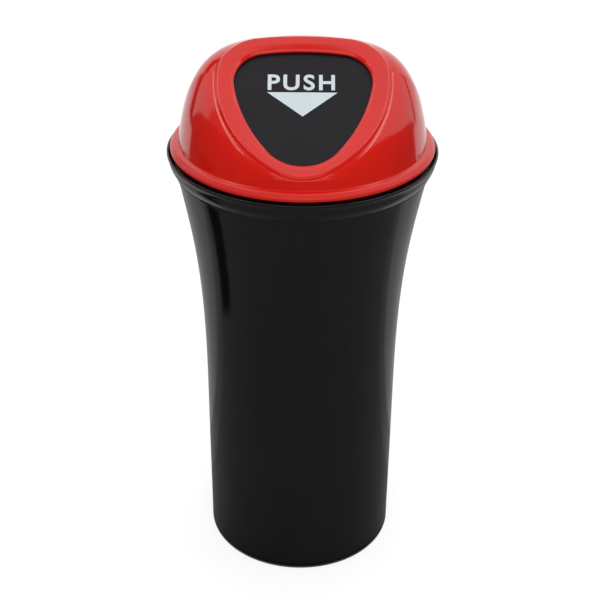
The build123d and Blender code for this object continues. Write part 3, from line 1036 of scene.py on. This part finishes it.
FAR_LEVEL = 0.001
FAR_SHADE = 0.07
far_plan = [(-2.2, 1.2), (-2.2, -2.2), (2.2, -2.2), (2.2, 1.2), (0.45, 0.25), (-0.45, 0.25)]
laid("far_card", far_plan, FAR_LEVEL, FAR_SHADE)

NEAR_LEVEL = 0.002
NEAR_HALF = 0.45
# Each row holds a card's name, its front edge, its back edge and its shade.
near_cards = [
    ("front_card", -0.33, 0.02, 0.18),
    ("edge_card", 0.02, 0.045, 0.24),
    ("back_card", 0.045, 0.30, 0.40),
]
for card_name, start, end, shade in near_cards:
    near_plan = [(-NEAR_HALF, start), (NEAR_HALF, start), (NEAR_HALF, end), (-NEAR_HALF, end)]
    laid(card_name, near_plan, NEAR_LEVEL, shade)

# %% [markdown]
# ## Lights
#
# A wide soft box overhead and a fill above the camera light the colours. Both are kept out of the
# reflections, where they would stand on the dome as hard white patches. Two narrow strips hang over the left
# and the right of the lid. They are seen in reflections only, and draw the thin bright line along the ridge.


# %% Lights
def soft_box(name, middle, aim, size, brightness):
    """Rectangular light that faces a place, with one level edge, whose surface has the given brightness."""
    lamp = bpy.data.lights.new(name, "AREA")
    lamp.shape = "RECTANGLE"
    lamp.size, lamp.size_y = size
    lamp.energy = brightness * math.pi * size[0] * size[1]
    made = bpy.data.objects.new(name, lamp)
    bpy.context.scene.collection.objects.link(made)
    away = np.array(middle, float) - np.array(aim, float)
    away /= np.linalg.norm(away)
    right = np.array([1.0, 0.0, 0.0])
    turn_matrix = np.eye(4)
    turn_matrix[:3, :3] = np.column_stack([right, np.cross(away, right), away])
    turn_matrix[:3, 3] = middle
    made.matrix_world = Matrix(turn_matrix.tolist())
    made.visible_camera = False
    print(name, "has", round(lamp.energy, 2), "watts")
    return made


OVERHEAD_PLACE = (0.2, 0.59, 1.165)
OVERHEAD_AIM = (0.2, 0.59, 0)
overhead = soft_box("overhead", OVERHEAD_PLACE, OVERHEAD_AIM, size=(1.7, 1.82), brightness=1.1)
FILL_PLACE = (0, -1.3, 0.9)
FILL_AIM = (0, 0, 0.12)
fill = soft_box("front_fill", FILL_PLACE, FILL_AIM, size=(1.2, 0.8), brightness=4.0)
for lamp_object in (overhead, fill):
    lamp_object.visible_glossy = False

STRIP_HEIGHT = 1.36
STRIP_SIZE = (0.18, 1.0)
STRIP_BRIGHTNESS = 3.0
for strip_name, across in (("left_strip", -0.69), ("right_strip", 0.69)):
    strip = soft_box(strip_name, (across, 0, STRIP_HEIGHT), (across, 0, 0), STRIP_SIZE, STRIP_BRIGHTNESS)
    strip.visible_diffuse = False

# %% [markdown]
# ## Camera
#
# The camera was found from the rings of the bin in the picture. It stands almost 0.4 metres in front of the
# bin's axis and looks down by about 31 degrees, close enough for the base to look clearly smaller than the
# rim.

# %% Camera
FOCAL_PIXELS = 1333.4
PICTURE_PIXELS = 600.0
SENSOR_WIDTH = 36.0
LOOK_DOWN = 0.534
ROLL = 0.0078
CAMERA_PLACE = np.array([-0.00043, -0.38535, 0.318])

forward = np.array([0.0, math.cos(LOOK_DOWN), -math.sin(LOOK_DOWN)])
level_right = np.array([1.0, 0.0, 0.0])
level_up = np.array([0.0, math.sin(LOOK_DOWN), math.cos(LOOK_DOWN)])
camera_right = math.cos(ROLL) * level_right + math.sin(ROLL) * level_up
camera_up = math.cos(ROLL) * level_up - math.sin(ROLL) * level_right
camera_data = bpy.data.cameras.new("camera")
camera_data.sensor_width = SENSOR_WIDTH
camera_data.lens = FOCAL_PIXELS / PICTURE_PIXELS * SENSOR_WIDTH
camera_data.clip_start, camera_data.clip_end = 0.01, 50.0
camera = bpy.data.objects.new("camera", camera_data)
bpy.context.scene.collection.objects.link(camera)
camera_matrix = np.eye(4)
camera_matrix[:3, :3] = np.column_stack([camera_right, camera_up, -forward])
camera_matrix[:3, 3] = CAMERA_PLACE
camera.matrix_world = Matrix(camera_matrix.tolist())
bpy.context.scene.camera = camera
bpy.context.scene.view_settings.view_transform = "Standard"
print("lens", round(camera_data.lens, 2), "mm")
